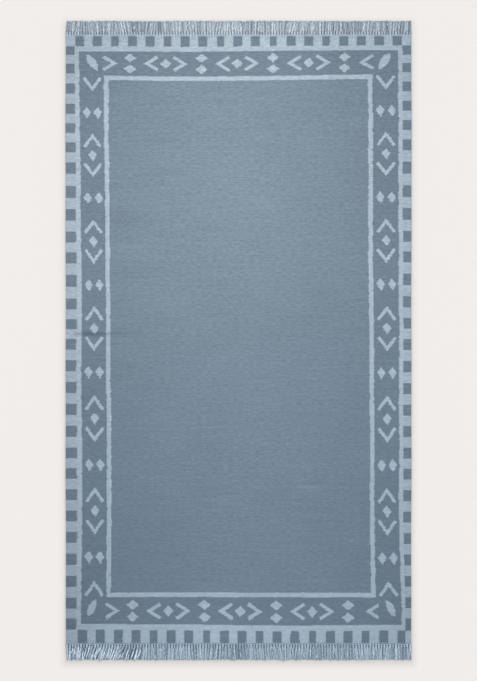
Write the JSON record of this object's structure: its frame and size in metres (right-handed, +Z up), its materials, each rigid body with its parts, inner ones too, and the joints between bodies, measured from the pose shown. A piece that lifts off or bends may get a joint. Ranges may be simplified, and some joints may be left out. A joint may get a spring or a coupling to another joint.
{
  "type": "flatweave rug",
  "caption": "Rectangular flatweave rug with a plain field, a patterned woven border and knotted warp fringe at both ends, lying flat.",
  "frame": {"origin": "on the floor, at the middle of the rug's underside counted with both fringes", "axes": "+X across the width, +Y along the length towards the head fringe, +Z up out of the face"},
  "size_m": [0.8, 1.48, 0.006],
  "materials": {
    "woven_cloth": "ribbed weft-faced flatweave in slate blue cotton, dull and dry, with paler blue-grey guard lines and motifs",
    "fringe_yarn": "loosely plied pale blue-grey cotton warp yarn, knotted, soft and dull"
  },
  "bodies": {
    "root": {"rug_cloth": "woven_cloth", "fringe_head": "fringe_yarn", "fringe_foot": "fringe_yarn"}
  },
  "joints": []
}
